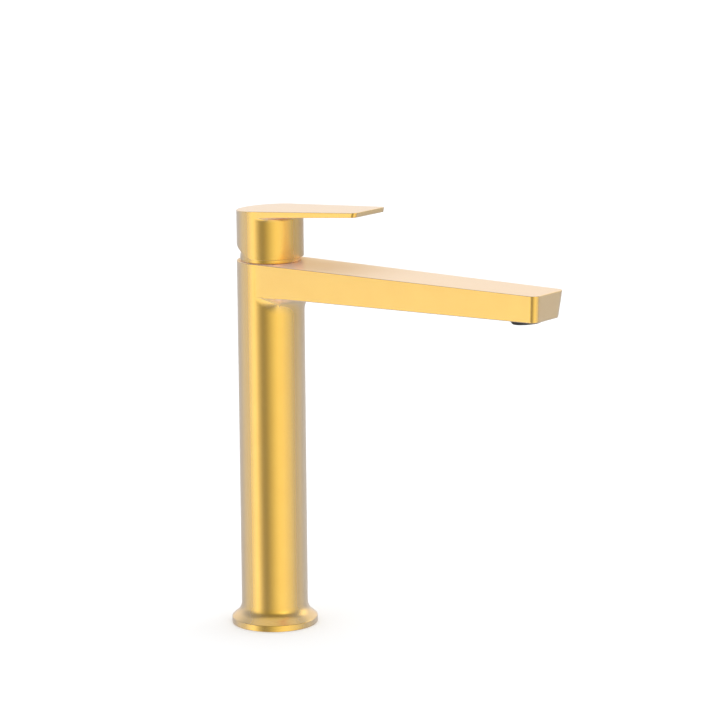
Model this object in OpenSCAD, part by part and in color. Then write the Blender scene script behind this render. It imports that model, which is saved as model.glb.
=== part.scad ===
// Tall single-lever basin mixer: fixed column and spout, 35 mm ceramic cartridge, aerator.
// Millimetres. +Z is up, z = 0 is the deck, the column axis is x = y = 0, the spout points to -Y.

/* [Column] */
// Height of the column and of the spout's flat top above the deck
body_height = 256.1; // [215:1:330]
// Outer radius of the column
column_r = 23; // [22.5:0.5:28]
// Wall of the column above the hose space
column_wall = 3.6; // [2.6:0.2:4.4]
// How far the foot's rim stands out from the column
foot_flare = 6.9; // [5:0.1:12]
// Height of the foot's upright band
foot_band = 4.3; // [3:0.1:6]
// Radius of the hollow sweep from the foot into the column
foot_sweep = 10; // [6:0.5:12]
// Steepness of the foot's slope, rise over run
foot_slope = 0.85; // [0.6:0.05:1.2]

/* [Spout] */
// Distance from the column axis to the spout's tip
spout_reach = 229.6; // [190:1:290]
// Spout width at the column axis
spout_w_root = 45.1; // [43:0.1:46]
// Spout width at the tip
spout_w_tip = 34.2; // [33:0.1:41]
// Spout depth at the column axis
spout_d_root = 22.5; // [22:0.1:27]
// Spout depth at the tip
spout_d_tip = 18; // [17.6:0.1:21.6]
// Radius of the tip's upright corners
spout_corner = 5; // [1:0.1:6]
// How far each side leans in at the bottom of the tip
side_lean = 2.1; // [0:0.1:2.6]
// How far the tip's end face leans in at the bottom
end_lean = 1.8; // [0:0.1:3]
// Radius of the hollow fillet under the spout's root
root_fillet = 13; // [3:0.5:14]
// Wall of the hollow spout
spout_wall = 2.2; // [1.6:0.1:2.6]

/* [Lever] */
// How far the lever's round cap is set in from the column
cap_inset = 0.1; // [0:0.1:0.6]
// Height of the cap's top above the spout's top, on the axis
cap_top = 35.9; // [33:0.5:43]
// Gap between the cap and the spout's top
cap_gap = 2.9; // [2:0.1:4]
// Length of the lever from the axis to its tip
lever_length = 85.9; // [60:1:103]
// Lever width at the axis
lever_w_root = 45.4; // [40:0.1:46]
// Lever width at the tip
lever_w_tip = 34.7; // [28:0.1:41]
// Plate thickness at the axis
lever_t_root = 4.5; // [3.5:0.1:6]
// Plate thickness at the tip
lever_t_tip = 3.3; // [2.5:0.1:4.4]
// Rise of the lever's top towards the tip, in degrees
lever_rise = 3.8; // [0:0.1:5]
// Radius of the lever's tip corners
lever_corner = 3.6; // [1:0.1:5]
// Travel of the lever from closed to full flow, in degrees
lift_angle = 25; // [20:1:26]

/* [Cartridge] */
// Height of the lever's pivot above the spout's top
pivot_rise = 4.9; // [4.7:0.1:5.2]
// Depth of the cartridge seat below the spout's top
seat_depth = 11.3; // [11.1:0.1:11.6]
// Radius of the cartridge housing
cartridge_r = 17.5; // [17.4:0.1:17.7]
// Distance of each hose port from the middle plane
port_x = 7.6; // [7.4:0.1:8]
// Distance of the hose ports in front of the axis
port_y = 5.2; // [5:0.1:5.6]

/* [Outlet] */
// Distance from the aerator's axis to the spout's tip
aerator_inset = 18.6; // [17.5:0.1:21]
// Radius of the aerator's thread
aerator_r = 11; // [10.6:0.1:11.4]
// How far the aerator shows below the spout
aerator_show = 3.1; // [2.4:0.1:4]
// How far the aerator leans, so that the water leaves the column
aerator_tilt = 5; // [0:0.5:6]
// Outer radius of the spout's water tube
tube_r = 3.2; // [2.8:0.1:3.2]

/* [Hidden] */
$fn = 96;
running = 0.05;                                   // play of a turning or screwed fit
eps = 0.02;
top = body_height;
half_root = spout_w_root / 2;
half_tip = spout_w_tip / 2;
under_z = top - spout_d_root;                     // spout's underside on the axis
under_tilt = atan((spout_d_root - spout_d_tip) / spout_reach);
end_tilt = atan(end_lean / spout_d_tip);
// outward normal of the leaning side face, which runs through the tip's top corner
lean_nx = spout_d_tip * spout_reach;
lean_ny = -spout_d_tip * (half_root - half_tip) - side_lean * spout_d_root;
lean_nz = -side_lean * spout_reach;
lean_len = sqrt(lean_nx * lean_nx + lean_ny * lean_ny + lean_nz * lean_nz);

// foot profile
foot_r = column_r + foot_flare;
sweep_x = column_r + foot_sweep;
slope_turn = atan(1 / foot_slope);
slope_x = sweep_x - foot_sweep * cos(slope_turn);
slope_z = foot_band + foot_slope * (foot_r - slope_x);
sweep_z = slope_z + foot_sweep * sin(slope_turn);
gasket_in = foot_r - 5.2;
gasket_out = foot_r - 1.6;
gasket_h = 2.2;

// lever cap, dome ring and the bores of the column
cap_r = column_r - cap_inset;
cap_in = cap_r - 1.6;
dome_r = cap_in - 0.5;
upper_r = dome_r - 0.6;
hose_r = min(column_r - column_wall, upper_r - 0.8);
seat_z = top - seat_depth;
insert_h = 18.8;
insert_z = seat_z - insert_h;
port_depth = 10;
port_r = 5;
inlet_r = 2.7;
outlet_y = 5;
outlet_r = 3;
rim_top = seat_z + 6.2;
rim_in = upper_r - running - 2.3;

// cartridge stack, heights above its seat
base_h = 2.2;
disc_h = 2.2;
slider_h = 2;
carrier_h = 4;
fixed_z = seat_z + base_h;
slider_z = fixed_z + disc_h;
carrier_z = slider_z + slider_h;
sleeve_z = carrier_z + carrier_h + 0.3;
shoulder_z = fixed_z + 10;
pivot_z = top + pivot_rise;
sleeve_top = pivot_z + 2.6;
lip_z = sleeve_top + 0.3;
housing_top = lip_z + 1.3;
neck_r = cartridge_r - 1.9;
neck_in = neck_r - 1.8;
bore_in = cartridge_r - 1.6;
sleeve_r = neck_in - 0.3;
slider_r = bore_in - 3.5;
ball_z = carrier_z + 2.8;
ball_r = 2.4;
pin_r = 1.25;
stem_r = 3.4;
stem_w = 7;
seal_r = 0.75;
peg_x = 11;
peg_y = 8;

// retaining nut and dome ring
nut_r = upper_r - running;
collar_r = dome_r - 2.1;
collar_top = shoulder_z + 3.5;
dome_z = top + cap_gap;
dome_top = top + 8.9;

// lever
cap_z = top + cap_gap;
plate_z = top + cap_top;
roof_z = plate_z - 6;
lever_half_root = lever_w_root / 2;
lever_half_tip = lever_w_tip / 2;
plate_drop = atan(lever_t_root / lever_length - lever_t_tip / lever_length);
relief_y = -0.6;
boss_r = 9;
boss_z = pivot_z + 11;
screw_z = boss_z + 4.6;
screw_r = 2.5;
plug_r = 3.4;
stem_top = roof_z - 1;

// water tube
tube_y = -12;
tube_z = seat_z - 5.1;
aerator_y = -(spout_reach - aerator_inset);
cavity_front = aerator_y + 17.5;
cavity_back = -(column_r + 3);
tube_end_y = aerator_y + 10.2;
tube_rise = 10.2;
tube_tilt = atan(tube_rise / (tube_y - tube_end_y));
tube_len = (tube_y - tube_end_y) / cos(tube_tilt);
oring_r = 0.6;
oring_back = 3.6;
oring_front = tube_len - 4.3;
groove_r = tube_r + 1.25;
water_r = 2.2;

// aerator: heights along its own axis, from the spout's underside
under_at = under_z - aerator_y * tan(under_tilt);
nozzle = -aerator_show;
collar_rise = 2.05;
thread = 0.9;
washer_at = 5.7;
washer_h = 2;
well_top = washer_at + washer_h;
chamber_r = 7;
chamber_top = top - 3.5 - under_at;
mesh_r = aerator_r - 2.4;

// base insert
ballast_z = 3;
ballast_h = 12;
hose_hole_r = 6.6;
stud_y = 10.5;
stud_r = 4;

// Part to show

// ring with a round section of radius sec, centred at height z
module seal_ring(mid, sec, z) {
    translate([0, 0, z]) rotate_extrude() translate([mid, 0]) circle(r = sec, $fn = 24);
}

module tube_wall(outer, inner, z, h) {
    translate([0, 0, z]) difference() {
        cylinder(r = outer, h = h);
        translate([0, 0, -1]) cylinder(r = inner, h = h + 2);
    }
}

// runs its child along the tilted water tube, z being the distance from the tube's back end
module along_tube() {
    translate([0, tube_y, tube_z]) rotate([90 - tube_tilt, 0, 0]) children();
}

// places its child on the aerator's leaning axis, at a height above the spout's underside
module on_aerator(height = 0) {
    translate([0, aerator_y, under_at]) rotate([-aerator_tilt, 0, 0]) translate([0, 0, height]) children();
}

// plan of a tapering arm that points to -Y, with rounded tip corners
module arm_plan(half_back, half_front, reach, corner) {
    flare = atan((half_back - half_front) / reach);
    cx = half_front + corner * tan(flare) - corner / cos(flare);
    cy = corner - reach;
    sx = cx + corner * cos(flare);
    sy = cy - corner * sin(flare);
    polygon([[half_back, 0], [sx, sy], [cx, -reach], [-cx, -reach], [-sx, sy], [-half_back, 0]]);
    for (s = [-1, 1]) translate([s * cx, cy]) circle(r = corner);
}

// slab that removes what lies beyond a leaning side of the spout
module lean_slab() {
    translate([half_tip, -spout_reach, top])
        rotate([0, acos(lean_nz / lean_len), atan2(lean_ny, lean_nx)])
            translate([-300, -300, 0]) cube([600, 600, 30]);
}

module spout_solid() {
    difference() {
        translate([0, 0, under_z - 1]) linear_extrude(spout_d_root + 1)
            arm_plan(half_root, half_tip, spout_reach, spout_corner);
        translate([0, 0, under_z]) rotate([-under_tilt, 0, 0])
            translate([-60, -spout_reach - 60, -30]) cube([120, spout_reach + 90, 30]);
        translate([0, -spout_reach, top]) rotate([end_tilt, 0, 0])
            translate([-60, -30, -60]) cube([120, 30, 80]);
        lean_slab();
        mirror([1, 0, 0]) lean_slab();
    }
}

// hollow of the spout, open only where the tube comes in
module spout_hollow() {
    back = half_root + cavity_back * (half_root - half_tip) / spout_reach - spout_wall - 0.5;
    front = half_root + cavity_front * (half_root - half_tip + side_lean) / spout_reach - spout_wall;
    difference() {
        translate([0, 0, under_z]) linear_extrude(spout_d_root - spout_wall)
            polygon([[back, cavity_back], [front, cavity_front],
                     [-front, cavity_front], [-back, cavity_back]]);
        translate([0, 0, under_z + spout_wall]) rotate([-under_tilt, 0, 0])
            translate([-60, -spout_reach - 60, -30]) cube([120, spout_reach + 90, 30]);
    }
}

module foot() {
    rotate_extrude() difference() {
        polygon([[hose_r, 0], [foot_r, 0], [foot_r, foot_band], [slope_x, slope_z],
                 [sweep_x, sweep_z], [hose_r, sweep_z]]);
        translate([sweep_x, sweep_z]) circle(r = foot_sweep);
    }
}

// hollow fillet between the column and the spout's underside
module root_sweep() {
    lift = under_z + (column_r + root_fillet) * tan(under_tilt) + 0.2;
    edge_x = half_root - 0.2;
    intersection() {
        rotate_extrude() difference() {
            translate([column_r - 1, lift - root_fillet])
                square([root_fillet + 1, root_fillet + 2]);
            translate([column_r + root_fillet, lift - root_fillet]) circle(r = root_fillet);
        }
        translate([0, 0, under_z - root_fillet]) linear_extrude(root_fillet + 2.5)
            arm_plan(half_root - 0.2, half_tip - 0.2, spout_reach, spout_corner);
        // draws in below the spout's side edges
        translate([0, 0, lift]) rotate([90, 0, 0]) linear_extrude(column_r + root_fillet + 2)
            polygon([[-edge_x, 3], [-edge_x, 0], [-edge_x + root_fillet / 4, -root_fillet],
                     [edge_x - root_fillet / 4, -root_fillet], [edge_x, 0], [edge_x, 3]]);
    }
}

module faucet_body() {
    color([0.86, 0.68, 0.38]) difference() {
        union() {
            cylinder(r = column_r, h = top);
            foot();
            spout_solid();
            root_sweep();
        }
        translate([0, 0, -1]) cylinder(r = hose_r, h = insert_z + 2);
        translate([0, 0, insert_z]) cylinder(r = upper_r, h = top);
        tube_wall(gasket_out + 0.2, gasket_in - 0.2, -1, gasket_h + 1.1);
        spout_hollow();
        // tube passage through the column's front, then the socket in the tip
        along_tube() {
            translate([0, 0, 6]) cylinder(r = tube_r + 0.4, h = tube_y - cavity_back - 5);
            translate([0, 0, oring_front - 8]) cylinder(r = tube_r + running, h = 12.4);
            translate([0, 0, oring_front - 0.8]) cylinder(r = groove_r, h = 1.6);
            translate([0, 0, tube_len - 1]) cylinder(r = water_r, h = 9);
        }
        on_aerator(-5) cylinder(r = aerator_r + running, h = well_top + 5);
        on_aerator(well_top - 1) cylinder(r = chamber_r, h = chamber_top - well_top + 1);
    }
}

module handle_lever() {
    color([0.87, 0.69, 0.4]) difference() {
        union() {
            difference() {
                union() {
                    tube_wall(cap_r, cap_in, cap_z, roof_z - cap_z + 1);
                    translate([0, 0, roof_z]) cylinder(r = cap_r, h = plate_z - roof_z);
                    translate([0, 0, boss_z]) cylinder(r = boss_r, h = roof_z - boss_z + 1);
                }
                lever_relief();
            }
            lever_plate();
        }
        translate([0, 0, plate_z]) rotate([-lever_rise, 0, 0])
            translate([-60, -lever_length - 40, 0]) cube([120, lever_length + 100, 30]);
        translate([-stem_w / 2 - running, -stem_w / 2 - running, boss_z - 1])
            cube([stem_w + 2 * running, stem_w + 2 * running, stem_top + 0.3 - boss_z + 1]);
        translate([0, 2, screw_z]) rotate([-90, 0, 0]) cylinder(r = screw_r + eps, h = boss_r);
        translate([0, boss_r + 2, screw_z]) rotate([-90, 0, 0]) cylinder(r = plug_r + eps, h = cap_r);
    }
}

// cuts the cap's rear underside so that it clears the body when the lever is up
module lever_relief() {
    translate([0, relief_y, cap_z]) rotate([lift_angle, 0, 0])
        translate([-40, 0, -40]) cube([80, 60, 40]);
}

module lever_plate() {
    plate_low = plate_z - lever_t_root;
    tip_high = plate_z + lever_length * tan(lever_rise);
    difference() {
        translate([0, 0, plate_low - 1]) linear_extrude(tip_high - plate_low + 2)
            arm_plan(lever_half_root, lever_half_tip, lever_length, lever_corner);
        translate([0, 0, plate_low]) rotate([-lever_rise - plate_drop, 0, 0])
            translate([-60, -lever_length - 40, -30]) cube([120, lever_length + 70, 30]);
        translate([0, -lever_length, tip_high]) rotate([12, 0, 0])
            translate([-60, -30, -30]) cube([120, 30, 60]);
    }
}

module dome_ring() {
    color([0.84, 0.66, 0.37]) difference() {
        union() {
            translate([0, 0, top]) cylinder(r = dome_r, h = cap_gap);
            intersection() {
                translate([0, 0, dome_z]) sphere(r = dome_r);
                translate([0, 0, dome_z - eps]) cylinder(r = dome_r + 1, h = dome_top - dome_z + eps);
            }
        }
        translate([0, 0, top - 1]) cylinder(r = collar_r + 0.3, h = dome_top - top - 0.7);
        translate([0, 0, top]) cylinder(r = neck_r + 0.7, h = dome_top - top + 1);
    }
}

module retaining_nut() {
    color([0.8, 0.62, 0.3]) difference() {
        union() {
            translate([0, 0, rim_top]) cylinder(r = nut_r, h = top - rim_top);
            translate([0, 0, top - 1]) cylinder(r = collar_r, h = collar_top - top + 1);
        }
        translate([0, 0, rim_top - 1]) cylinder(r = cartridge_r + 0.3, h = shoulder_z - rim_top + 1);
        translate([0, 0, rim_top]) cylinder(r = neck_r + 0.3, h = collar_top - rim_top + 1);
        for (a = [45, 135]) rotate([0, 0, a])
            translate([-25, -1.5, collar_top - 1.5]) cube([50, 3, 3]);
    }
}

module cartridge_housing() {
    color([0.9, 0.9, 0.88]) difference() {
        union() {
            translate([0, 0, fixed_z]) cylinder(r = cartridge_r, h = shoulder_z - fixed_z);
            translate([0, 0, fixed_z]) cylinder(r = neck_r, h = housing_top - fixed_z);
        }
        translate([0, 0, fixed_z - 1]) cylinder(r = bore_in, h = sleeve_z - fixed_z + 0.8);
        translate([0, 0, fixed_z]) cylinder(r = neck_in, h = lip_z - fixed_z);
        translate([0, 0, fixed_z]) cylinder(r = sleeve_r - 2.7, h = housing_top - fixed_z + 1);
    }
}

// the three water ways, repeated through the base, the seals and the lower disc
module ways(z, h, extra) {
    for (s = [-1, 1]) translate([s * port_x, -port_y, z]) cylinder(r = inlet_r + extra, h = h);
    translate([0, outlet_y, z]) cylinder(r = outlet_r + extra, h = h);
}

module cartridge_base() {
    color([0.2, 0.35, 0.6]) {
        difference() {
            translate([0, 0, seat_z]) cylinder(r = cartridge_r, h = base_h);
            ways(seat_z - 1, base_h + 2, 0);
            ways(seat_z - 1, 2 * seal_r + 1.05, 2 * seal_r + 0.1);
        }
        for (s = [-1, 1]) translate([s * peg_x, peg_y, seat_z - 2.4]) cylinder(r = 1.5, h = 3);
    }
}

module cartridge_seals() {
    color([0.1, 0.1, 0.1]) {
        for (s = [-1, 1]) translate([s * port_x, -port_y, 0])
            seal_ring(inlet_r + seal_r, seal_r, seat_z + seal_r + eps);
        translate([0, outlet_y, 0]) seal_ring(outlet_r + seal_r, seal_r, seat_z + seal_r + eps);
    }
}

module fixed_disc() {
    color([0.95, 0.94, 0.9]) difference() {
        translate([0, 0, fixed_z]) cylinder(r = bore_in - 0.3, h = disc_h);
        ways(fixed_z - 1, disc_h + 2, 0);
    }
}

module moving_disc() {
    color([0.93, 0.92, 0.88]) difference() {
        translate([0, 0, slider_z]) cylinder(r = slider_r, h = slider_h);
        // mixing pocket in the underside: over the outlet at rest, over the inlets when slid
        translate([-9.8, -port_y + inlet_r + 0.5, slider_z - 1]) cube([19.6, 4, 2.2]);
        translate([0, outlet_y - 0.6, slider_z - 1]) cylinder(r = 5, h = 2.2);
    }
}

module disc_carrier() {
    color([0.85, 0.85, 0.8]) difference() {
        translate([0, 0, carrier_z]) cylinder(r = slider_r, h = carrier_h);
        translate([0, 0, carrier_z - 1]) cylinder(r = ball_r + 0.1, h = carrier_h + 2);
    }
}

module stem_sleeve() {
    color([0.75, 0.3, 0.25]) difference() {
        translate([0, 0, sleeve_z]) cylinder(r = sleeve_r, h = sleeve_top - sleeve_z);
        translate([-stem_r - 0.2, -6.4, sleeve_z - 1])
            cube([2 * stem_r + 0.4, 12.8, sleeve_top - sleeve_z + 2]);
        translate([-20, 0, pivot_z]) rotate([0, 90, 0]) cylinder(r = pin_r + eps, h = 40, $fn = 48);
    }
}

module lever_stem() {
    color([0.72, 0.72, 0.74]) difference() {
        union() {
            translate([0, 0, ball_z]) sphere(r = ball_r, $fn = 48);
            translate([0, 0, ball_z]) cylinder(r = 1.7, h = pivot_z - ball_z);
            translate([0, 0, pivot_z - 3.6]) cylinder(r = stem_r, h = 10);
            translate([-stem_w / 2, -stem_w / 2, pivot_z + 6])
                cube([stem_w, stem_w, stem_top - pivot_z - 6]);
        }
        translate([-10, 0, pivot_z]) rotate([0, 90, 0]) cylinder(r = pin_r + eps, h = 20, $fn = 48);
    }
}

module pivot_pin() {
    color([0.6, 0.6, 0.63]) translate([-sleeve_r + 1.5, 0, pivot_z]) rotate([0, 90, 0])
        cylinder(r = pin_r, h = 2 * sleeve_r - 3, $fn = 48);
}

module set_screw() {
    color([0.55, 0.55, 0.58]) translate([0, stem_w / 2 + eps, screw_z]) rotate([-90, 0, 0])
        difference() {
            cylinder(r = screw_r, h = 5.2);
            translate([0, 0, 2.7]) cylinder(r = 1.4, h = 3, $fn = 6);
        }
}

module screw_plug() {
    color([0.84, 0.67, 0.38]) translate([0, cap_in - 0.9, screw_z]) rotate([-90, 0, 0])
        cylinder(r = plug_r, h = cap_r - cap_in + 0.9);
}

module valve_insert() {
    color([0.78, 0.6, 0.3]) difference() {
        translate([0, 0, insert_z]) cylinder(r = upper_r - running, h = rim_top - insert_z);
        translate([0, 0, seat_z]) cylinder(r = rim_in, h = 20);
        ways(seat_z - 6, 8, 0);
        for (s = [-1, 1]) translate([s * port_x, -port_y, insert_z - 1]) {
            cylinder(r = inlet_r, h = insert_h);
            cylinder(r = port_r, h = port_depth + 1);
        }
        for (s = [-1, 1]) translate([s * peg_x, peg_y, seat_z - 2.7]) cylinder(r = 1.6, h = 4);
        translate([0, outlet_y + 1, tube_z]) rotate([90, 0, 0])
            cylinder(r = water_r, h = outlet_y + 2 - tube_y);
        along_tube() {
            translate([0, 0, -eps]) cylinder(r = tube_r + running, h = 20);
            translate([0, 0, oring_back - 0.8]) cylinder(r = groove_r, h = 1.6);
        }
    }
}

module spout_tube() {
    color([0.9, 0.9, 0.86]) along_tube() difference() {
        cylinder(r = tube_r, h = tube_len);
        translate([0, 0, -1]) cylinder(r = water_r, h = tube_len + 2);
    }
}

module tube_orings() {
    color([0.08, 0.08, 0.08]) along_tube() {
        seal_ring(tube_r + oring_r + eps, oring_r, oring_back);
        seal_ring(tube_r + oring_r + eps, oring_r, oring_front);
    }
}

module aerator_housing() {
    color([0.1, 0.1, 0.11]) on_aerator() rotate_extrude()
        polygon([[aerator_r - 3.1, nozzle], [aerator_r - 1.7, nozzle],
                 [aerator_r - 0.3, nozzle + collar_rise], [aerator_r - 0.3, thread],
                 [aerator_r, thread], [aerator_r, washer_at], [mesh_r + 0.1, washer_at],
                 [mesh_r + 0.1, nozzle + 1.4], [aerator_r - 3.1, nozzle + 1.4]]);
}

// a hexagonal field of holes: the middle one, six round it and twelve round those
module hole_field(r, pitch) {
    cylinder(r = r, h = 20, $fn = 16);
    for (a = [0:60:300]) rotate([0, 0, a]) {
        translate([pitch, 0, 0]) cylinder(r = r, h = 20, $fn = 16);
        translate([2 * pitch, 0, 0]) cylinder(r = r, h = 20, $fn = 16);
        translate([1.5 * pitch, pitch * sin(60), 0]) cylinder(r = r, h = 20, $fn = 16);
    }
}

module aerator_insert() {
    color([0.16, 0.16, 0.17]) on_aerator(nozzle + 1.4) difference() {
        cylinder(r = mesh_r, h = 5.4);
        translate([0, 0, 2]) cylinder(r = mesh_r - 1.2, h = 5);
        translate([0, 0, -5]) hole_field(1.15, 2.9);
    }
}

module aerator_screen() {
    color([0.62, 0.62, 0.64]) on_aerator(nozzle + 6.8) difference() {
        cylinder(r = mesh_r, h = 0.4);
        translate([0, 0, -5]) hole_field(0.95, 2.9);
    }
}

module aerator_washer() {
    color([0.06, 0.06, 0.06]) on_aerator() tube_wall(aerator_r - 0.1, aerator_r - 3.4, washer_at, washer_h);
}

module base_insert() {
    color([0.78, 0.6, 0.3]) difference() {
        translate([0, 0, ballast_z]) cylinder(r = hose_r - running, h = ballast_h);
        for (s = [-1, 1]) translate([s * port_x, -port_y, ballast_z - 1])
            cylinder(r = hose_hole_r, h = ballast_h + 2);
        translate([0, stud_y, ballast_z - 1]) cylinder(r = stud_r, h = ballast_h + 2);
    }
}

module deck_gasket() {
    color([0.07, 0.07, 0.07]) tube_wall(gasket_out, gasket_in, 0, gasket_h);
}

faucet_body();
handle_lever();
dome_ring();
retaining_nut();
cartridge_housing();
cartridge_base();
cartridge_seals();
fixed_disc();
moving_disc();
disc_carrier();
stem_sleeve();
lever_stem();
pivot_pin();
set_screw();
screw_plug();
valve_insert();
spout_tube();
tube_orings();
aerator_housing();
aerator_insert();
aerator_screen();
aerator_washer();
base_insert();
deck_gasket();
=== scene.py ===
import math

import bmesh
import bpy
from mathutils import Matrix, Vector


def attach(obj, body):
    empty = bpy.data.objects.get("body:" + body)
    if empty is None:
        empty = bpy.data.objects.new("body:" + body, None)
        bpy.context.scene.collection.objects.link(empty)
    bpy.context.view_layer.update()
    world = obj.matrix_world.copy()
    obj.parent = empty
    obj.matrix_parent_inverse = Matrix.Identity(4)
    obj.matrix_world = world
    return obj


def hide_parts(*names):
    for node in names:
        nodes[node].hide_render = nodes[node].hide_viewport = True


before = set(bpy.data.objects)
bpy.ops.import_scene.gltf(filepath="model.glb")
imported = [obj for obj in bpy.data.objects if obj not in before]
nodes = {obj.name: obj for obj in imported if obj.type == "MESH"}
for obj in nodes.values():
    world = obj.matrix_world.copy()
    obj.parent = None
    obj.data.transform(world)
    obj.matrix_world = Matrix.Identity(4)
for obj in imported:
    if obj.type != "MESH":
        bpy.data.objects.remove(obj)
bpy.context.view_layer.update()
mm = 0.001
print("frame loaded with", len(nodes), "CAD nodes")


# modelling helpers: lengths inside them are millimetres

def deselectAll():
    if bpy.context.object and bpy.context.object.mode != "OBJECT":
        bpy.ops.object.mode_set(mode="OBJECT")
    bpy.ops.object.select_all(action="DESELECT")


def activate(piece):
    deselectAll()
    piece.select_set(True)
    bpy.context.view_layer.objects.active = piece


# extrudes a circle's edges from station to station and moves each new ring into place
def skin(name, stations):
    deselectAll()
    bpy.ops.mesh.primitive_circle_add(vertices=len(stations[0]), radius=0.02)
    piece = bpy.context.object
    piece.name = name
    piece.data.name = name
    bpy.ops.object.mode_set(mode="EDIT")
    bpy.ops.mesh.select_all(action="SELECT")
    order = {}
    for number, station in enumerate(stations):
        if number:
            bpy.ops.mesh.extrude_edges_move()
        shape = bmesh.from_edit_mesh(piece.data)
        ring = [v for v in shape.verts if v.select]
        if number:
            found = {v: order[next(e.other_vert(v) for e in v.link_edges
                                   if not e.other_vert(v).select)] for v in ring}
        else:
            found = {v: k for k, v in enumerate(ring)}
        order = found
        for v, k in found.items():
            v.co = Vector(station[k]) * mm
        bmesh.update_edit_mesh(piece.data)
    bpy.ops.mesh.select_all(action="SELECT")
    bpy.ops.mesh.remove_doubles(threshold=0.000004)
    bpy.ops.mesh.select_all(action="SELECT")
    bpy.ops.mesh.normals_make_consistent(inside=False)
    bpy.ops.object.mode_set(mode="OBJECT")
    return piece


# a closed or open profile of (radius, height) points turned round the Z axis, then moved to a centre
def turned(name, profile, count=96, centre=(0, 0)):
    turns = [2 * math.pi * k / count for k in range(count)]
    stations = [[(centre[0] + r * math.cos(a), centre[1] + r * math.sin(a), z) for a in turns]
                for r, z in profile]
    return skin(name, stations)


# rounds the corners of a profile: each point is (r, z) or (r, z, radius)
def eased(points, closed=True, steps=4):
    out = []
    count = len(points)
    for k, point in enumerate(points):
        corner = Vector(point[:2])
        size = point[2] if len(point) > 2 else 0
        if not size or (not closed and k in (0, count - 1)):
            out.append(tuple(corner))
            continue
        before = Vector(points[k - 1][:2])
        after = Vector(points[(k + 1) % count][:2])
        start = corner + (before - corner).normalized() * size
        end = corner + (after - corner).normalized() * size
        out += [tuple(bent(start, corner, end, s / steps)) for s in range(steps + 1)]
    if closed:
        out.append(out[0])
    return out


# point on the curve from start to end that a corner pulls on
def bent(start, corner, end, t):
    return start * (1 - t) ** 2 + corner * (2 * t * (1 - t)) + end * t ** 2


def combine(piece, operation, tool):
    change = piece.modifiers.new(operation.lower(), "BOOLEAN")
    change.operation = operation
    change.solver = "EXACT"
    change.object = tool
    activate(piece)
    bpy.ops.object.modifier_apply(modifier=change.name)
    bpy.data.objects.remove(tool)


def rod(radius, low, high, turn=(0, 0, 0), count=48):
    low, high = Vector(low), Vector(high)
    deselectAll()
    bpy.ops.mesh.primitive_cylinder_add(vertices=count, radius=radius * mm,
                                        depth=(high - low).length * mm,
                                        location=(low + high) / 2 * mm, rotation=turn)
    bpy.ops.object.transform_apply(location=True, rotation=True, scale=True)
    return bpy.context.object


def block(low, high):
    low, high = Vector(low), Vector(high)
    deselectAll()
    bpy.ops.mesh.primitive_cube_add(size=1, location=(low + high) / 2 * mm)
    box = bpy.context.object
    box.scale = (high - low) * mm
    bpy.ops.object.transform_apply(location=True, rotation=True, scale=True)
    return box


def smooth(piece, angle=32):
    activate(piece)
    bpy.ops.object.shade_smooth_by_angle(angle=math.radians(angle))
    even = piece.modifiers.new("even", "WEIGHTED_NORMAL")
    even.keep_sharp = True
    even.weight = 80
    bpy.ops.object.modifier_apply(modifier=even.name)
    return piece


def finish(piece, body, slot, material, *replaced):
    smooth(piece)
    piece.data.materials.clear()
    piece.data.materials.append(material)
    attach(piece, body)
    if replaced:
        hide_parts(*replaced)
    print("made", piece.name, "with", len(piece.data.polygons), "faces")


# materials

# an output of a node, with the arithmetic that the looks use
class Wire:
    def __init__(self, graph, socket):
        self.graph = graph
        self.socket = socket

    def math(self, operation, *values):
        return self.graph.node("ShaderNodeMath", {"operation": operation}, dict(enumerate(values)))

    # another output of the same node
    def beside(self, output):
        return Wire(self.graph, self.socket.node.outputs[output])

    def __add__(self, other):
        return self.math("ADD", self, other)

    def __radd__(self, other):
        return self.math("ADD", other, self)

    def __sub__(self, other):
        return self.math("SUBTRACT", self, other)

    def __rsub__(self, other):
        return self.math("SUBTRACT", other, self)

    def __mul__(self, other):
        return self.math("MULTIPLY", self, other)

    def __rmul__(self, other):
        return self.math("MULTIPLY", other, self)

    def __truediv__(self, other):
        return self.math("DIVIDE", self, other)

    def __rtruediv__(self, other):
        return self.math("DIVIDE", other, self)


# a shader tree
class Graph:
    def __init__(self, tree):
        self.tree = tree
        tree.nodes.clear()

    # adds a node of any type: first its settings, then the values or links of its sockets
    def node(self, kind, settings=None, sockets=None, output=0):
        node = self.tree.nodes.new(kind)
        for key, value in (settings or {}).items():
            setattr(node, key, value)
        for key, value in (sockets or {}).items():
            if isinstance(value, Wire):
                self.tree.links.new(value.socket, node.inputs[key])
            else:
                node.inputs[key].default_value = value
        return Wire(self, node.outputs[output]) if node.outputs else None

    def noise(self, place, scale, detail, roughness=0.5):
        return self.node("ShaderNodeTexNoise", None,
                         {"Vector": place, "Scale": scale, "Detail": detail, "Roughness": roughness})

    # a Mix node has its colours at sockets 6 and 7, and their mix at output 2
    def mixColour(self, share, first, second):
        return self.node("ShaderNodeMix", {"data_type": "RGBA"}, {0: share, 6: first, 7: second}, 2)

    def bump(self, height, strength, depth):
        return self.node("ShaderNodeBump", None,
                         {"Height": height, "Strength": strength, "Distance": depth})


# a material's tree
class Finish(Graph):
    def __init__(self, name):
        self.material = bpy.data.materials.new(name)
        self.material.use_nodes = True
        super().__init__(self.material.node_tree)

    def principled(self, sockets):
        return self.node("ShaderNodeBsdfPrincipled", None, sockets)

    # ends the tree with its shader and gives the material
    def surface(self, shader):
        self.node("ShaderNodeOutputMaterial", None, {"Surface": shader})
        return self.material


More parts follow.
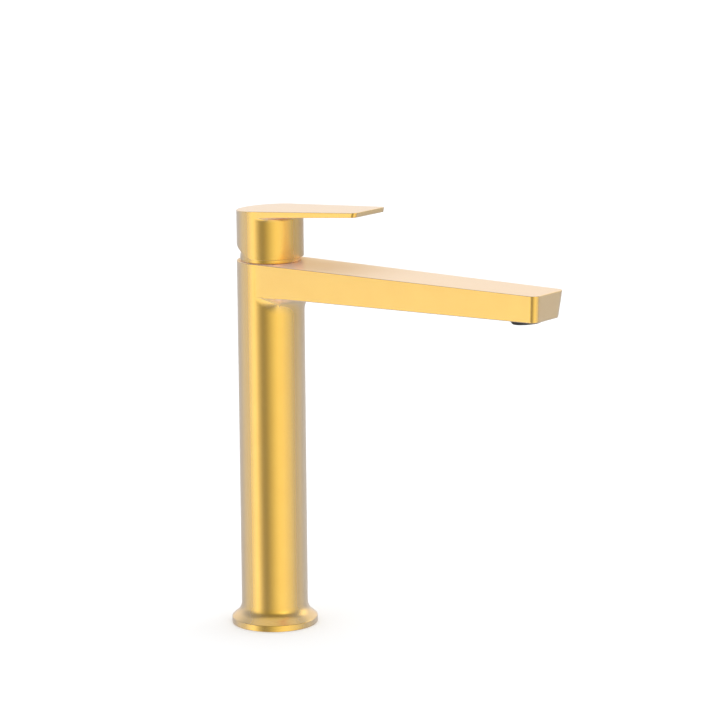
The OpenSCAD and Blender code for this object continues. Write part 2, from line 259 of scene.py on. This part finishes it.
goldLook = {
    "light": (0.955, 0.60, 0.118, 1),   # the metal where it is cleanest
    "deep": (0.935, 0.56, 0.100, 1),    # where the coating is a touch thicker
    "edge": (0.97, 0.72, 0.36, 1),      # its tone along the far edges
    "roughness": 0.25,
    "roughnessPlay": 0.05,
    "cloudsPerMetre": 55,
    "grainPerMetre": 5200,
    "grainPlay": 0.04,                  # how much the grain changes the roughness
    "grainStrength": 0.35,
    "grainDepth": 0.0000022,
    "haze": 0.54,                       # pale bloom of the satin coating at a grazing angle
    "hazeRoughness": 0.6,
}


# satin coating: soft clouds in tone and polish, a fine even grain, and a pale bloom at grazing angles
def satinGold(name):
    look = goldLook
    gold = Finish(name)
    place = gold.node("ShaderNodeTexCoord", output="Object")
    clouds = gold.noise(place, look["cloudsPerMetre"], 3.0, 0.55)
    grain = gold.noise(place, look["grainPerMetre"], 2.0, 0.6)
    roughness = (look["roughness"] + (clouds - 0.5) * look["roughnessPlay"]
                 + (grain - 0.5) * look["grainPlay"])
    metal = gold.principled({
        "Metallic": 1.0,
        "Specular Tint": look["edge"],
        "Base Color": gold.mixColour(clouds, look["light"], look["deep"]),
        "Roughness": roughness,
        "Normal": gold.bump(grain, look["grainStrength"], look["grainDepth"]),
    })
    bloom = gold.principled({"Base Color": (1, 1, 1, 1), "Roughness": look["hazeRoughness"]})
    facing = gold.node("ShaderNodeLayerWeight", None, {"Blend": 0.5}, "Facing")
    mixed = gold.node("ShaderNodeMixShader", None, {0: facing * look["haze"], 1: metal, 2: bloom})
    return gold.surface(mixed)


mouldedLook = {
    "wearPerMetre": 140.0,
    "shade": 0.82,                      # tone of the worn spots, as a share of the colour
    "lift": 0.004,
    "roughnessPlay": 0.12,
    "pitStrength": 0.4,
}


# a moulded or rubbery surface: fine pitting and a slightly uneven sheen
def moulded(name, colour, roughness, pitsPerMetre=2600, depth=0.00001):
    look = mouldedLook
    cast = Finish(name)
    place = cast.node("ShaderNodeTexCoord", output="Object")
    pits = cast.noise(place, pitsPerMetre, 3.0)
    wear = cast.noise(place, look["wearPerMetre"], 2.0)
    worn = [c * look["shade"] + look["lift"] for c in colour]
    return cast.surface(cast.principled({
        "IOR": 1.5,
        "Base Color": cast.mixColour(wear, (*colour, 1), (*worn, 1)),
        "Roughness": roughness + (wear - 0.5) * look["roughnessPlay"],
        "Normal": cast.bump(pits, look["pitStrength"], depth),
    }))


machinedLook = {
    "marksPerMetre": 250.0,
    "distortion": 1.2,
    "cloudsPerMetre": 90.0,
    "shade": 0.86,
    "roughnessPlay": 0.15,
    "markStrength": 0.25,
    "markDepth": 0.000012,
}


# a machined metal: fine turning marks round the column's axis
def machined(name, colour, roughness):
    look = machinedLook
    cut = Finish(name)
    place = cut.node("ShaderNodeTexCoord", output="Object")
    # the wave's strength is its second output
    marks = cut.node("ShaderNodeTexWave", {"wave_type": "RINGS", "rings_direction": "Z"},
                     {"Vector": place, "Scale": look["marksPerMetre"], "Distortion": look["distortion"],
                      "Detail": 2.0}, 1)
    clouds = cut.noise(place, look["cloudsPerMetre"], 3.0)
    dull = [c * look["shade"] for c in colour]
    return cut.surface(cut.principled({
        "Metallic": 1.0,
        "Base Color": cut.mixColour(clouds, (*colour, 1), (*dull, 1)),
        "Roughness": roughness + (clouds - 0.5) * look["roughnessPlay"],
        "Normal": cut.bump(marks, look["markStrength"], look["markDepth"]),
    }))


bodyGold = satinGold("satinGoldBody")
leverGold = satinGold("satinGoldLever")
ringGold = satinGold("satinGoldRing")
plugGold = satinGold("satinGoldPlug")
rawBrass = machined("machinedBrass", (0.72, 0.47, 0.19), 0.34)
steel = machined("machinedSteel", (0.56, 0.56, 0.57), 0.3)
whitePlastic = moulded("whiteCartridgePlastic", (0.78, 0.78, 0.74), 0.42)
bluePlastic = moulded("blueCartridgePlastic", (0.05, 0.14, 0.4), 0.4)
redPlastic = moulded("redCartridgePlastic", (0.45, 0.05, 0.035), 0.4)
tubePlastic = moulded("waterTubePlastic", (0.74, 0.75, 0.7), 0.3)
blackRubber = moulded("blackRubber", (0.014, 0.014, 0.014), 0.7, 3200, 0.00002)
blackPlastic = moulded("blackAeratorPlastic", (0.012, 0.012, 0.013), 0.38)
darkPlastic = moulded("darkInsertPlastic", (0.035, 0.035, 0.037), 0.45)
ceramic = moulded("lappedCeramic", (0.86, 0.85, 0.8), 0.16, 4200, 0.000004)
print("materials made")


# the aerator, whose place the spout's well needs too

aerator = {
    "reach": 211.0,        # where its axis meets the spout's underside
    "height": 237.72,
    "lean": 5.0,
    "radius": 11.0,
    "show": 3.1,           # how far it stands out of the spout
    "rise": 2.05,          # height of the collar's cone
    "top": 5.7,
    "mouth": 7.9,
    "seat": 8.7,
    "notches": 12,         # grip notches round the mouth
    "notchRadius": 0.55,
    "cell": 1.15,          # radius of one hole of the grid
    "pitch": 2.75,
    "gridTop": 3.7,
    "lip": 1.4,            # thickness of the collar's mouth
    "gridRim": 1.3,        # width of the grid's outer band
    "clearance": 0.05,
}


# leans a piece that was made upright at the origin, and takes it to the spout's underside
def placeOnSpout(piece):
    activate(piece)
    lean = Matrix.Rotation(-math.radians(aerator["lean"]), 4, "X")
    piece.matrix_world = Matrix.Translation((0, -aerator["reach"] * mm, aerator["height"] * mm)) @ lean
    bpy.ops.object.transform_apply(location=True, rotation=True, scale=True)
    return piece


# faucet body

column = {
    "radius": 23.0,
    "top": 256.1,
    "hoseBore": 19.4,
    "upperBore": 20.2,
    "shoulder": 226.0,     # where the upper bore ends
    "mouthEase": 0.3,
    "rings": (24, 70, 120, 170, 200, 214, 219),   # heights of the rings up the column
}
foot = {
    "radius": 29.9,
    "band": 4.3,           # height of its upright band
    "slope": 0.85,         # rise of the slope over its width
    "sweep": 10.0,         # radius of the hollow sweep into the column
    "edge": 0.55,
    "grooveIn": 24.5,
    "grooveOut": 28.5,
    "grooveDepth": 2.3,
}
spout = {
    "reach": 229.6,
    "halfRoot": 22.55,     # half its width at the column's axis
    "halfTip": 17.1,
    "depthRoot": 22.5,
    "depthTip": 18.0,
    "corner": 5.0,
    "sideLean": 2.1,       # how far the sides draw in from top to bottom
    "endLean": 1.8,
    "fillet": 13.0,
    "lowerEdge": 0.8,
    "upperEdge": 0.6,
    "topInside": 1.2,      # width of the flat ring round the bore
}


# An arm that grows out of a round post, towards -Y. Points run round it once: first over the
# post's back, then along the left side, the tip and the right side.
class Arm:
    def __init__(self, radius, halfRoot, halfTip, reach, corner, fillet, under, top, sideLean, endLean):
        self.radius = radius
        self.halfRoot = halfRoot
        self.halfTip = halfTip
        self.reach = reach
        self.corner = corner
        self.fillet = fillet
        self.under = under          # height of the underside at a distance from the axis
        self.top = top              # height of the top at a distance from the axis
        self.sideLean = sideLean
        self.endLean = endLean
        self.back = 84              # points over the post's back
        self.side = 24              # along a side
        self.turn = 8               # round a corner of the tip
        self.end = 6                # from that corner to the tip's middle
        self.half = self.side + self.turn + self.end
        self.heel = fillet * 0.2    # how far below the underside the fillet starts beside the post
        self.narrowing = (halfRoot - halfTip) / reach
        # the angle at which the arm's side leaves the post
        self.start = next(a for a in (k / 1000 for k in range(1, 1500))
                          if radius * math.cos(a) <= halfRoot - self.narrowing * radius * math.sin(a))
        self.step = (math.pi / 2 - self.start) / self.half
        # the last front point whose fillet runs out at the side
        self.rolls = next(m for m in range(self.half) if self.overhang(m) <= 0) - 1

    # angle of front point m, from the post's side towards its front
    def angle(self, m):
        return self.start + m * self.step

    # centre of the ball that rolls along the post and under the arm, at point m
    def ballCentre(self, m):
        reach = self.radius + self.fillet
        return Vector((reach * math.cos(self.angle(m)), -reach * math.sin(self.angle(m)), 0))

    # how far the fillet's rolling ball has its centre outside the arm's side
    def overhang(self, m):
        centre = self.ballCentre(m)
        return centre.x - (self.halfRoot + self.narrowing * centre.y)

    # outline point m on the right side at a height below the top: its place and outward normal
    def outline(self, m, below):
        depth = self.top(self.reach) - self.under(self.reach)
        half = self.halfTip - self.sideLean * below / depth
        end = -self.reach + self.endLean * below / depth
        flare = math.atan((self.halfRoot - half) / -end)
        cx = half + self.corner * math.tan(flare) - self.corner / math.cos(flare)
        cy = end + self.corner
        if m <= self.side:
            last = cy - self.corner * math.sin(flare)
            if m <= self.rolls:
                y = self.ballCentre(m).y
            else:
                first = self.ballCentre(self.rolls).y
                # points lie closer together near the post
                share = (m - self.rolls) / (self.side - self.rolls)
                y = first + (last - first) * share ** 1.5
            if m == 0:
                y = -self.radius * math.sin(self.start)
            x = self.halfRoot - (self.halfRoot - half) * y / end
            return Vector((x, y, 0)), Vector((math.cos(flare), -math.sin(flare), 0))
        if m <= self.side + self.turn:
            share = (m - self.side) / self.turn
            turn = -flare - (math.pi / 2 - flare) * share
            out = Vector((math.cos(turn), math.sin(turn), 0))
            return Vector((cx, cy, 0)) + out * self.corner, out
        share = (m - self.side - self.turn) / self.end
        return Vector((cx * (1 - share), end, 0)), Vector((0, -1, 0))

    # the rolling ball's track: from the post (t = 0) to the arm's underside or its edge (t = 1)
    def blend(self, m, t):
        if m == 0:
            here = self.outline(0, 0)[0]
            return Vector((here.x, here.y, self.under(-here.y) - self.heel * (1 - t)))
        centre = self.ballCentre(m)
        level = self.under(-centre.y)
        beyond = max(0.0, self.overhang(m))
        if beyond >= self.fillet:
            return Vector(self.postPoint(self.radius, m, level - 0.02 * (1 - t)))
        drop = math.sqrt(self.fillet ** 2 - beyond ** 2)
        middle = Vector((centre.x, centre.y, level - drop))
        inward = Vector((-math.cos(self.angle(m)), math.sin(self.angle(m)), 0))
        touch = Vector((-beyond, 0, drop)).normalized()
        swing = inward.angle(touch)
        turnBy = (inward * math.sin((1 - t) * swing) + touch * math.sin(t * swing)) / math.sin(swing)
        return middle + turnBy * self.fillet

    # builds one ring: backPoint(angle) for the back, frontPoint(m) for the right side of the front
    def ring(self, backPoint, frontPoint):
        points = []
        for k in range(self.back):
            turn = -self.start + (math.pi + 2 * self.start) * k / self.back
            points.append(backPoint(turn))
        for k in range(2 * self.half):
            m = k if k <= self.half else 2 * self.half - k
            x, y, z = frontPoint(m)
            points.append((-x if k <= self.half else x, y, z))
        return points

    def postPoint(self, radius, m, z):
        return (radius * math.cos(self.angle(m)), -radius * math.sin(self.angle(m)), z)

    # a ring on the post, at one height or at heights that a function of y gives
    def postRing(self, radius, height):
        level = height if callable(height) else (lambda y: height)

        def back(a):
            y = radius * math.sin(a)
            return (radius * math.cos(a), y, level(y))

        def front(m):
            return self.postPoint(radius, m, level(-radius * math.sin(self.angle(m))))
        return self.ring(back, front)


# rings from where the fillet leaves the post to the inside of the top's edge
def armStations(arm, lowerEdge, upperEdge):
    stations = []
    filletSteps, underSteps, edgeSteps, sideSteps = 12, 4, 4, 6
    ringCount = filletSteps + underSteps
    span = arm.fillet * 1.2         # about the length of the fillet's curve
    round0 = arm.under(arm.radius * math.sin(arm.start))
    start = round0 - arm.heel

    def backAt(level):
        return lambda a: (arm.radius * math.cos(a), arm.radius * math.sin(a), level)

    # the lower edge's rounding grows to its full size over the first points
    def lowerSize(m):
        return lowerEdge * min(1.0, 0.12 + m / 5)

    # how far along the ball's track the rounding starts, where the fillet runs out at the side
    def filletEnd(m):
        return max(0.0, 1 - lowerSize(m) / span)

    # the lower edge at point m: where its rounding starts, its sharp corner, where its rounding ends
    def corners(m):
        first = arm.outline(m, arm.top(arm.reach) - arm.under(arm.reach))[0]
        level = arm.under(-first.y)
        below = arm.top(-first.y) - level
        sharp, out = arm.outline(m, below)
        sharp = Vector((sharp.x, sharp.y, level))
        size = lowerSize(m)
        if m > arm.rolls:
            inside = sharp - out * size
            inside.z = arm.under(-inside.y)
        else:
            inside = arm.blend(m, filletEnd(m))
        above = arm.outline(m, below - size)[0]
        outside = Vector((above.x, above.y, level + size))
        return inside, sharp, outside

    # the fillet and the flat underside
    for k in range(ringCount):
        def front(m, k=k):
            if m <= arm.rolls:
                return arm.blend(m, k / ringCount * filletEnd(m))
            if k <= filletSteps:
                return arm.blend(m, k / filletSteps)
            return arm.blend(m, 1).lerp(corners(m)[0], (k - filletSteps) / underSteps)
        stations.append(arm.ring(backAt(start + (round0 - start) * k / ringCount), front))
    # the lower edge
    for k in range(edgeSteps + 1):
        def front(m, k=k):
            inside, sharp, outside = corners(m)
            return bent(inside, sharp, outside, k / edgeSteps)
        stations.append(arm.ring(backAt(round0 + lowerSize(0) * k / edgeSteps), front))
    # the sides
    for k in range(1, sideSteps + 1):
        def front(m, k=k):
            sharp, outside = corners(m)[1:]
            level = outside.z + (arm.top(-sharp.y) - upperEdge - outside.z) * k / sideSteps
            place = arm.outline(m, arm.top(-outside.y) - level)[0]
            return (place.x, place.y, level)

        def behind(a, k=k):
            y = arm.radius * math.sin(a)
            first = round0 + lowerSize(0)
            return (arm.radius * math.cos(a), y, first + (arm.top(-y) - upperEdge - first) * k / sideSteps)
        stations.append(arm.ring(behind, front))
    # the upper edge
    for k in range(1, edgeSteps + 1):
        def front(m, k=k):
            place = arm.outline(m, 0)[0]
            sharp = Vector((place.x, place.y, arm.top(-place.y)))
            lower, out = arm.outline(m, upperEdge)
            lower = Vector((lower.x, lower.y, arm.top(-place.y) - upperEdge))
            inner = sharp - out * upperEdge
            inner.z = arm.top(-inner.y)
            return bent(lower, sharp, inner, k / edgeSteps)

        def behind(a, k=k):
            out = Vector((math.cos(a), math.sin(a), 0))
            sharp = out * arm.radius
            sharp.z = arm.top(-sharp.y)
            inner = sharp - out * upperEdge
            inner.z = arm.top(-inner.y)
            return bent(sharp - Vector((0, 0, upperEdge)), sharp, inner, k / edgeSteps)
        stations.append(arm.ring(behind, front))
    return stations


def makeBody():
    top = column["top"]
    rise = (spout["depthRoot"] - spout["depthTip"]) / spout["reach"]
    arm = Arm(column["radius"], spout["halfRoot"], spout["halfTip"], spout["reach"], spout["corner"],
              spout["fillet"], lambda d: top - spout["depthRoot"] + d * rise, lambda d: top,
              spout["sideLean"], spout["endLean"])
    slopeTurn = math.atan(1 / foot["slope"])
    sweepX = column["radius"] + foot["sweep"]
    slopeX = sweepX - foot["sweep"] * math.cos(slopeTurn)
    slopeZ = foot["band"] + foot["slope"] * (foot["radius"] - slopeX)
    sweepZ = slopeZ + foot["sweep"] * math.sin(slopeTurn)
    bore = column["upperBore"]
    ease = column["mouthEase"]
    # from the bore down the inside, round the foot and up to its sweep
    inside = eased([(bore, top), (bore, column["shoulder"]),
                    (column["hoseBore"], column["shoulder"]), (column["hoseBore"], 0, 0.4),
                    (foot["grooveIn"], 0, 0.2), (foot["grooveIn"], foot["grooveDepth"]),
                    (foot["grooveOut"], foot["grooveDepth"]), (foot["grooveOut"], 0, 0.2),
                    (foot["radius"], 0, 0.5), (foot["radius"], foot["band"], foot["edge"]),
                    (slopeX, slopeZ)], closed=False)
    inside = [(bore + ease, top), (bore, top - ease)] + inside[1:]
    sweepSteps = 12
    sweep = []
    for k in range(1, sweepSteps + 1):
        turn = slopeTurn * (1 - k / sweepSteps)
        sweep.append((sweepX - foot["sweep"] * math.cos(turn), sweepZ - foot["sweep"] * math.sin(turn)))
    upright = [(column["radius"], z) for z in column["rings"]]
    stations = [arm.postRing(r, z) for r, z in inside + sweep + upright]
    stations += armStations(arm, spout["lowerEdge"], spout["upperEdge"])
    stations.append(arm.postRing(bore + spout["topInside"], top))
    stations.append(arm.postRing(bore + ease, top))
    body = skin("mixerBody", stations)
    well = rod(aerator["radius"] + aerator["clearance"], (0, 0, -6), (0, 0, aerator["top"] + 2), count=96)
    combine(body, "DIFFERENCE", placeOnSpout(well))
    finish(body, "faucet", "satin_gold", bodyGold, "faucet_body")


makeBody()


# lever

lever = {
    "capRadius": 22.9,
    "capInside": 21.3,
    "capBottom": 259.0,
    "roof": 286.0,
    "topHeight": 292.0,
    "rise": 3.8,           # degrees
    "length": 85.9,
    "halfRoot": 22.7,
    "halfTip": 17.35,
    "corner": 3.6,
    "plateRoot": 4.5,
    "plateTip": 3.3,
    "endLean": 0.74,
    "fillet": 4.1,
    "lowerEdge": 0.5,
    "upperEdge": 0.5,
    "reliefAngle": 25.0,   # slant of the cap's rear underside, in degrees
    "reliefStart": -0.6,
    "bottomEdge": 0.35,
    "insideEase": 0.15,
    "skirt": 3.0,          # height of the inside's lowest straight part
    "innerDrop": 8.0,      # from the roof down to the inside's next ring
    "browGap": 1.5,        # from the fillet's lowest point down to the last ring below it
    "stemGap": 0.7,        # wall left over the stem
    "bossRadius": 9.0,
    "bossBottom": 272.0,
    "stemHalf": 3.55,
    "screwHeight": 276.6,
    "plugRadius": 3.4,
    "screwRadius": 2.52,
    "clearance": 0.05,
    "roofCorner": 1.5,
    "middle": 20.0,        # where the top's faces meet, from the axis
}


def makeLever():
    size = lever
    rise = math.tan(math.radians(size["rise"]))
    low = size["topHeight"] - size["plateRoot"]
    lowRise = rise + (size["plateRoot"] - size["plateTip"]) / size["length"]
    arm = Arm(size["capRadius"], size["halfRoot"], size["halfTip"], size["length"], size["corner"],
              size["fillet"], lambda d: low + d * lowRise, lambda d: size["topHeight"] + d * rise,
              0.0, size["endLean"])
    relief = math.tan(math.radians(size["reliefAngle"]))

    # height of the cap's lower edge, which rises at a slant towards the rear
    def foot(y, lift=0.0):
        return size["capBottom"] + max(0.0, (y - size["reliefStart"]) * relief) + lift

    edge = size["bottomEdge"]
    stations = [arm.postRing(0.0, size["roof"])]
    for r, z in eased([(0.5, size["roof"]), (size["capInside"], size["roof"], size["roofCorner"]),
                       (size["capInside"], size["roof"] - size["innerDrop"])], closed=False)[1:]:
        stations.append(arm.postRing(r, z))
    stations.append(arm.postRing(size["capInside"], lambda y: foot(y, size["skirt"])))
    stations.append(arm.postRing(size["capInside"], lambda y: foot(y, size["insideEase"])))
    stations.append(arm.postRing(size["capInside"] + size["insideEase"], foot))
    stations.append(arm.postRing(size["capRadius"] - edge, foot))
    for k in range(1, 5):
        point = bent(Vector((size["capRadius"] - edge, 0)), Vector((size["capRadius"], 0)),
                     Vector((size["capRadius"], edge)), k / 4)
        stations.append(arm.postRing(point.x, lambda y, lift=point.y: foot(y, lift)))
    brow = arm.under(0) - size["fillet"] - size["browGap"]
    for share in (0.12, 0.4, 0.7, 1.0):
        stations.append(arm.postRing(size["capRadius"],
                                     lambda y, s=share: foot(y, edge) * (1 - s) + brow * s))
    stations += armStations(arm, size["lowerEdge"], size["upperEdge"])
    middle = Vector((0, -size["middle"], arm.top(size["middle"])))
    last = [Vector(p) for p in stations[-1]]
    stations.append([p.lerp(middle, 0.5) for p in last])
    stations.append([middle for p in last])
    piece = skin("leverHandle", stations)
    height = size["screwHeight"]
    boss = rod(size["bossRadius"], (0, 0, size["bossBottom"]), (0, 0, size["roof"] + 1), count=64)
    combine(piece, "UNION", boss)
    half = size["stemHalf"]
    combine(piece, "DIFFERENCE", block((-half, -half, 260), (half, half, size["roof"] - size["stemGap"])))
    quarter = (math.pi / 2, 0, 0)
    combine(piece, "DIFFERENCE", rod(size["screwRadius"], (0, 2, height), (0, 11, height), quarter))
    plugHole = rod(size["plugRadius"] + size["clearance"], (0, 12, height), (0, 26, height), quarter, 64)
    combine(piece, "DIFFERENCE", plugHole)
    finish(piece, "lever", "satin_gold_lever", leverGold, "handle_lever")


makeLever()


# dome ring, plug, aerator

ring = {
    "radius": 20.8,
    "foot": 256.1,
    "straight": 256.6,     # where the rounding starts
    "top": 265.0,
    "inside": 19.0,
    "mouth": 16.3,
    "lip": 1.6,            # thickness of the rim over the nut
}


def makeDomeRing():
    size = ring
    swing = math.asin((size["top"] - size["straight"]) / size["radius"])
    rim = [(size["radius"] * math.cos(a), size["straight"] + size["radius"] * math.sin(a))
           for a in (swing * k / 8 for k in range(9))]
    profile = [(size["inside"], size["foot"]), (size["radius"], size["foot"], 0.45)]
    profile += [(r, z) for r, z in rim[:-1]] + [(*rim[-1], 0.4)]
    profile += [(size["mouth"], size["top"], 0.3), (size["mouth"], size["top"] - size["lip"]),
                (size["inside"], size["top"] - size["lip"])]
    piece = turned("domeRing", eased(profile), 160)
    finish(piece, "faucet", "satin_gold_ring", ringGold, "dome_ring")


makeDomeRing()


plug = {
    "radius": 3.4,
    "inner": 20.4,
    "outer": 22.9,
    "height": 276.6,
    "shoulder": 0.55,      # from its face back to where the crown starts
    "crown": 0.5,
    "chamfer": 0.2,
}


def makePlug():
    size = plug
    radius = size["radius"]
    chamfer = size["chamfer"]
    rim = size["outer"] - size["shoulder"]
    profile = [(0.0, size["inner"]), (radius - chamfer, size["inner"]), (radius, size["inner"] + chamfer),
               (radius, rim)]
    crown = [(radius * math.cos(a), rim + size["crown"] * math.sin(a))
             for a in (math.pi / 2 * k / 8 for k in range(1, 9))]
    turns = [2 * math.pi * k / 64 for k in range(64)]
    stations = [[(r * math.cos(a), depth, size["height"] + r * math.sin(a)) for a in turns]
                for r, depth in profile + crown]
    piece = skin("screwPlug", stations)
    finish(piece, "lever", "satin_gold_plug", plugGold, "screw_plug")


makePlug()


def makeAerator():
    size = aerator
    low = -size["show"]
    radius = size["radius"]
    profile = [(size["mouth"], low, 0.25), (radius - 1.7, low, 0.4), (radius - 0.3, low + size["rise"], 0.3),
               (radius - 0.3, 0.8), (radius, 1.1), (radius, size["top"]), (size["seat"], size["top"]),
               (size["seat"], low + size["lip"]), (size["mouth"], low + size["lip"])]
    collar = turned("aeratorCollar", eased(profile), 144)
    for k in range(size["notches"]):
        turn = 2 * math.pi * (k + 0.5) / size["notches"]
        spot = Vector((math.cos(turn), math.sin(turn), 0)) * (size["mouth"] + size["clearance"])
        notch = rod(size["notchRadius"], (spot.x, spot.y, low - 1), (spot.x, spot.y, low + 1), count=20)
        combine(collar, "DIFFERENCE", notch)
    placeOnSpout(collar)
    finish(collar, "faucet", "black_plastic", blackPlastic, "aerator_housing")

    radius = size["seat"] - 0.1
    base = low + size["lip"]
    profile = [(0, base + 0.3), (radius - size["gridRim"], base + 0.3), (radius - 1.1, base), (radius, base),
               (radius, size["gridTop"]), (radius - 1.2, size["gridTop"]), (radius - 1.2, base + 2),
               (0, base + 2)]
    grid = turned("aeratorGrid", eased(profile, closed=False), 96)
    for row in range(-3, 4):
        for place in range(-3, 4):
            x = (place + 0.5 * (row % 2)) * size["pitch"]
            y = row * size["pitch"] * math.sin(math.pi / 3)
            if math.hypot(x, y) < radius - size["gridRim"] - size["cell"]:
                combine(grid, "DIFFERENCE", rod(size["cell"], (x, y, base - 1), (x, y, base + 3), count=6))
    placeOnSpout(grid)
    finish(grid, "faucet", "dark_plastic", darkPlastic, "aerator_insert")


makeAerator()


# finishes of the CAD nodes that keep their shape

keptLooks = {
    "retaining_nut": rawBrass, "valve_insert": rawBrass, "base_insert": rawBrass,
    "cartridge_housing": whitePlastic, "disc_carrier": whitePlastic, "cartridge_base": bluePlastic,
    "stem_sleeve": redPlastic, "cartridge_seals": blackRubber, "tube_orings": blackRubber,
    "aerator_washer": blackRubber, "deck_gasket": blackRubber, "fixed_disc": ceramic, "moving_disc": ceramic,
    "lever_stem": steel, "pivot_pin": steel, "set_screw": steel, "aerator_screen": steel,
    "spout_tube": tubePlastic,
}
for name, look in keptLooks.items():
    nodes[name].data.materials.clear()
    nodes[name].data.materials.append(look)
print("finishes on", len(keptLooks), "CAD nodes")


# floor, light and camera

studio = {
    "floorTone": (0.89, 0.9, 0.915),
    "floorRoughness": 0.85,
    "floorShine": 0.1,
    "below": 0.26,          # brightness round the object, outside the soft boxes
    "sun": 1.9,
    "sideSun": 0.45,
    "panelSpread": 100,     # degrees
    "softBoxes": [          # direction in degrees from +X, half width, softness, low, high, brightness
        (158, 5, 60, -2.0, 0.38, 1.59),
        (247, 33, 60, -2.0, 0.42, 0.86),
        (250, 10, 30, 0.14, 0.46, 0.75),
        (128, 32, 38, -2.0, 0.15, 0.36),
        (306, 30, 24, -2.0, 0.15, 0.19),
        (37, 50, 50, 0.02, 0.75, 0.58),
        (330, 16, 24, 0.12, 0.6, 1.1),
        (0, 190, 10, 0.8, 2.0, 0.42),
    ],
}


def makeStudio():
    deselectAll()
    bpy.ops.mesh.primitive_plane_add(size=40, location=(0, 0, 0))
    floor = bpy.context.object
    floor.name = "studioFloor"
    pale = Finish("paleFloor")
    floor.data.materials.append(pale.surface(pale.principled({
        "Base Color": (*studio["floorTone"], 1),
        "Roughness": studio["floorRoughness"],
        "Specular IOR Level": studio["floorShine"],
    })))
    floor.visible_glossy = False

    world = bpy.data.worlds.new("studio")
    bpy.context.scene.world = world
    world.use_nodes = True
    graph = Graph(world.node_tree)
    way = graph.node("ShaderNodeTexCoord", output="Generated")
    split = graph.node("ShaderNodeSeparateXYZ", None, {0: way})
    x, y, z = (split.beside(k) for k in range(3))
    level = z.math("SQRT", x * x + y * y) + 0.0001

    # 0 to 1 over a soft step
    def soft(value, low, high):
        return graph.node("ShaderNodeMapRange", {"interpolation_type": "SMOOTHSTEP"},
                          {"Value": value, "From Min": low, "From Max": high})

    glow = studio["below"]
    for turn, half, ease, low, high, power in studio["softBoxes"]:
        aim = math.radians(turn)
        toward = (x * math.cos(aim) + y * math.sin(aim)) / level
        away = z.math("ARCCOSINE", toward * 0.9999)
        box = soft(away, math.radians(half + ease / 2), math.radians(half - ease / 2)) * power
        box = box * soft(z, low - 0.1, low + 0.1) * soft(z, high + 0.1, high - 0.1)
        glow = glow + box
    # the camera itself sees a plain pale wall
    seen = graph.node("ShaderNodeLightPath", output="Is Camera Ray")
    back = graph.node("ShaderNodeBackground", None,
                      {"Color": (1, 1, 1, 1), "Strength": glow * (1 - seen) + seen})
    graph.node("ShaderNodeOutputWorld", None, {"Surface": back})

    # one soft panel overhead and one on each side
    for name, lean, turn, energy in (("skyPanel", 0, 0, studio["sun"]),
                                     ("leftPanel", 85, 217, studio["sideSun"]),
                                     ("rightPanel", 85, 37, studio["sideSun"])):
        lamp = bpy.data.lights.new(name, "SUN")
        lamp.angle = math.radians(studio["panelSpread"])
        lamp.energy = energy
        holder = bpy.data.objects.new(name, lamp)
        holder.rotation_euler = (math.radians(lean), 0, math.radians(turn))
        holder.visible_glossy = False
        bpy.context.scene.collection.objects.link(holder)


makeStudio()

view = {
    "place": (-1.6858, -1.3472, 0.6214),
    "forward": (0.78262, 0.59013, -0.19810),
    "roll": -0.434,
    "lens": 159.86,
}


def makeCamera():
    forward = Vector(view["forward"]).normalized()
    flat = forward.cross(Vector((0, 0, 1))).normalized()
    up = flat.cross(forward)
    roll = math.radians(view["roll"])
    right = flat * math.cos(roll) + up * math.sin(roll)
    up = up * math.cos(roll) - flat * math.sin(roll)
    turn = Matrix((right, up, -forward)).transposed()
    lens = bpy.data.cameras.new("camera")
    lens.lens = view["lens"]
    lens.sensor_width = 36
    holder = bpy.data.objects.new("camera", lens)
    holder.matrix_world = Matrix.Translation(Vector(view["place"])) @ turn.to_4x4()
    bpy.context.scene.collection.objects.link(holder)
    bpy.context.scene.camera = holder


makeCamera()
bpy.context.scene.view_settings.view_transform = "Standard"
print("studio and camera ready")
